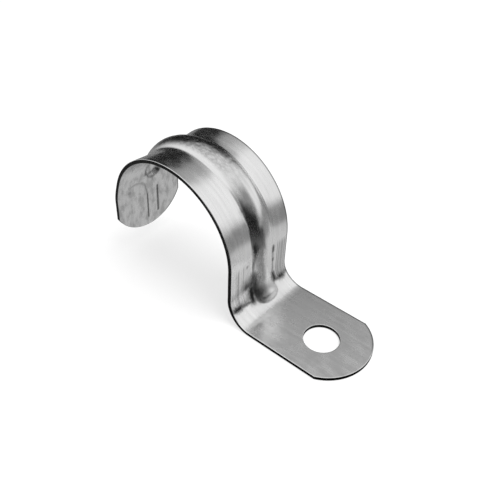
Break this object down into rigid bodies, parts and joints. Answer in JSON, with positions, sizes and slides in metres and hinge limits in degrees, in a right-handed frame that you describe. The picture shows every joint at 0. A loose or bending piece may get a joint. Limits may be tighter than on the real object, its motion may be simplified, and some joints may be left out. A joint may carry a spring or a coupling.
{
  "type": "one-hole conduit strap",
  "caption": "Pressed steel strap that wraps over round conduit with a straight hook on one side and a flat screw foot on the other.",
  "frame": {"origin": "on the axis of the conduit that the strap holds, at the middle of the strip's width", "axes": "+Y along the conduit, +Z away from the wall that the foot is screwed to, +X from the conduit towards the foot"},
  "size_m": [0.0654, 0.0194, 0.0342],
  "materials": {
    "strap": "zinc-plated sheet steel, semi-bright, with fine draw marks along the strip and dark sheared edges"
  },
  "bodies": {
    "root": {"strap": "strap"}
  },
  "joints": []
}
